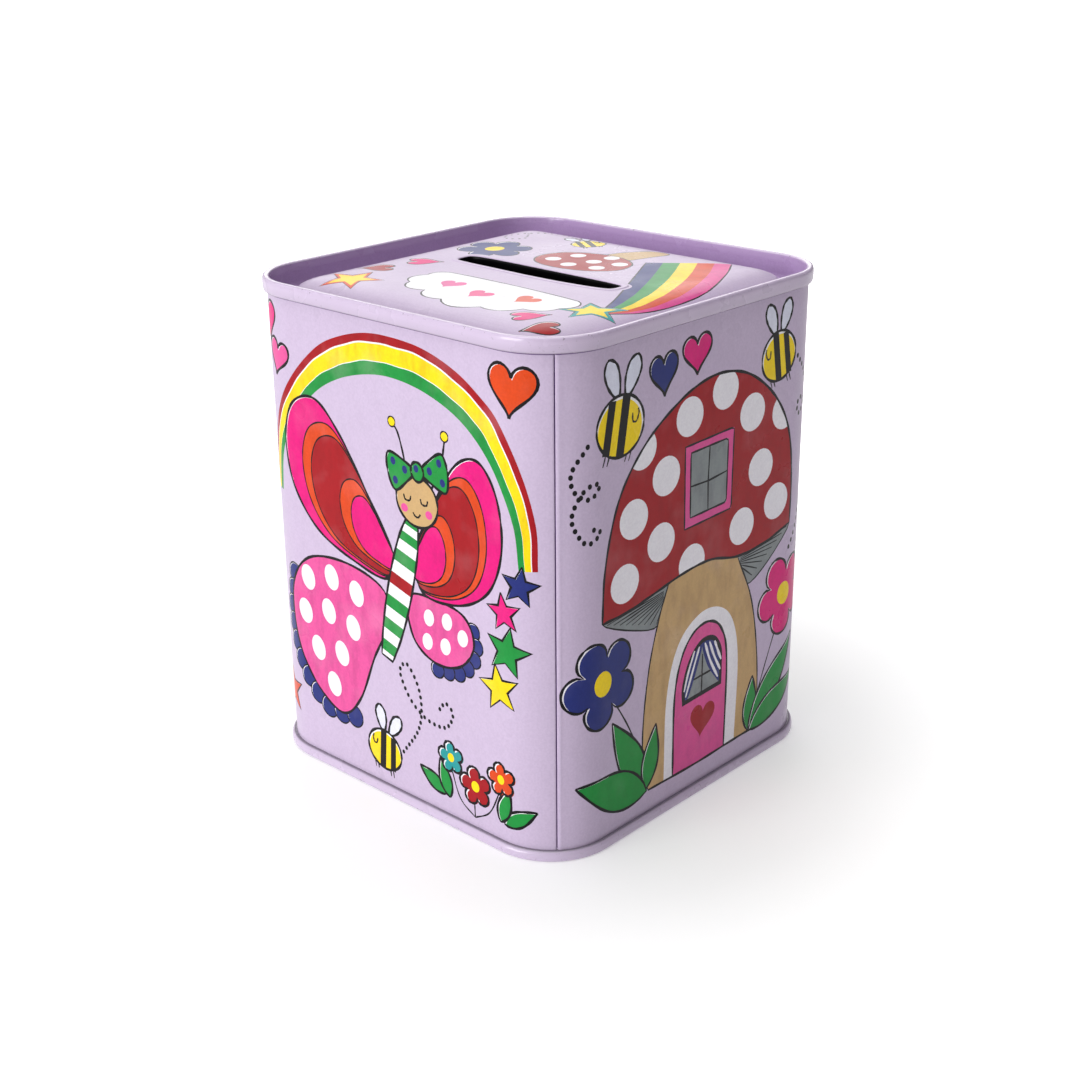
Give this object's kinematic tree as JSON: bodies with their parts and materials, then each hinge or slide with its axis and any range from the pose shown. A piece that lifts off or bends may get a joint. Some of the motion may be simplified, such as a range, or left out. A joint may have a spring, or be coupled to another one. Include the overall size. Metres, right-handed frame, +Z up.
{
  "type": "square tin money box",
  "caption": "Square seamed tinplate money box with a coin slot in its recessed, printed top and a round pull-out stopper in its base.",
  "frame": {"origin": "centre of the plane that the box stands on", "axes": "+Z up through the coin slot, -Y the front, +X the right side; the coin slot runs along X"},
  "size_m": [0.0872, 0.0872, 0.104],
  "materials": {
    "printed_tin": "satin litho print over white coat",
    "printed_top": "satin litho print over white coat",
    "base_tin": "satin lilac coat",
    "stopper_plastic": "soft moulded plastic"
  },
  "bodies": {
    "tin": {"body_wall": "printed_tin", "top_panel": "printed_top", "base_panel": "base_tin"},
    "stopper": {"stopper": "stopper_plastic"}
  },
  "joints": [
    {"name": "stopper_pull", "type": "slide", "parent": "tin", "child": "stopper", "axis": [0, 0, -1], "range_m": [0, 0.012]}
  ]
}
